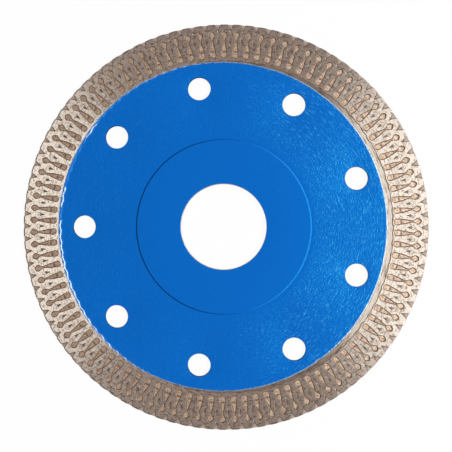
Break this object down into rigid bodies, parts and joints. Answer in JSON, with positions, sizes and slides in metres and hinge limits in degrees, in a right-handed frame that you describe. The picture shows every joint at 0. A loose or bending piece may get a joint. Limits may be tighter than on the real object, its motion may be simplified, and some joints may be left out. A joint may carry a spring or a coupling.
{
  "type": "diamond blade",
  "caption": "Thin round diamond blade with a continuous sintered rim in X-mesh relief, a ring of cooling holes and a reinforced hub round its bore.",
  "frame": {"origin": "centre of the bore at the blade's mid-thickness", "axes": "+Z along the blade's axis, out of its front face; +X and +Y lie in the blade's plane, with one cooling hole at 20 degrees from +X"},
  "size_m": [0.105, 0.105, 0.0018],
  "materials": {
    "core_steel": "bare ground steel, circumferential grinding marks",
    "disc_steel": "rolled sheet steel, straight fine grain",
    "foot_sinter": "sintered bronze and iron, lands ground flat, recesses left as pressed",
    "diamond_sinter": "sintered bronze and iron with diamond grit, lands ground flat, recesses left as pressed",
    "braze": "dull braze",
    "blue_paint": "satin metallic blue, sprayed thin over the grinding marks"
  },
  "bodies": {
    "root": {"steel_core": "core_steel", "rim_foot": "foot_sinter", "diamond_rim": "diamond_sinter", "front_hub_disc": "disc_steel", "rear_hub_disc": "disc_steel", "front_hub_bond": "braze", "rear_hub_bond": "braze", "front_paint": "blue_paint", "rear_paint": "blue_paint"}
  },
  "joints": []
}
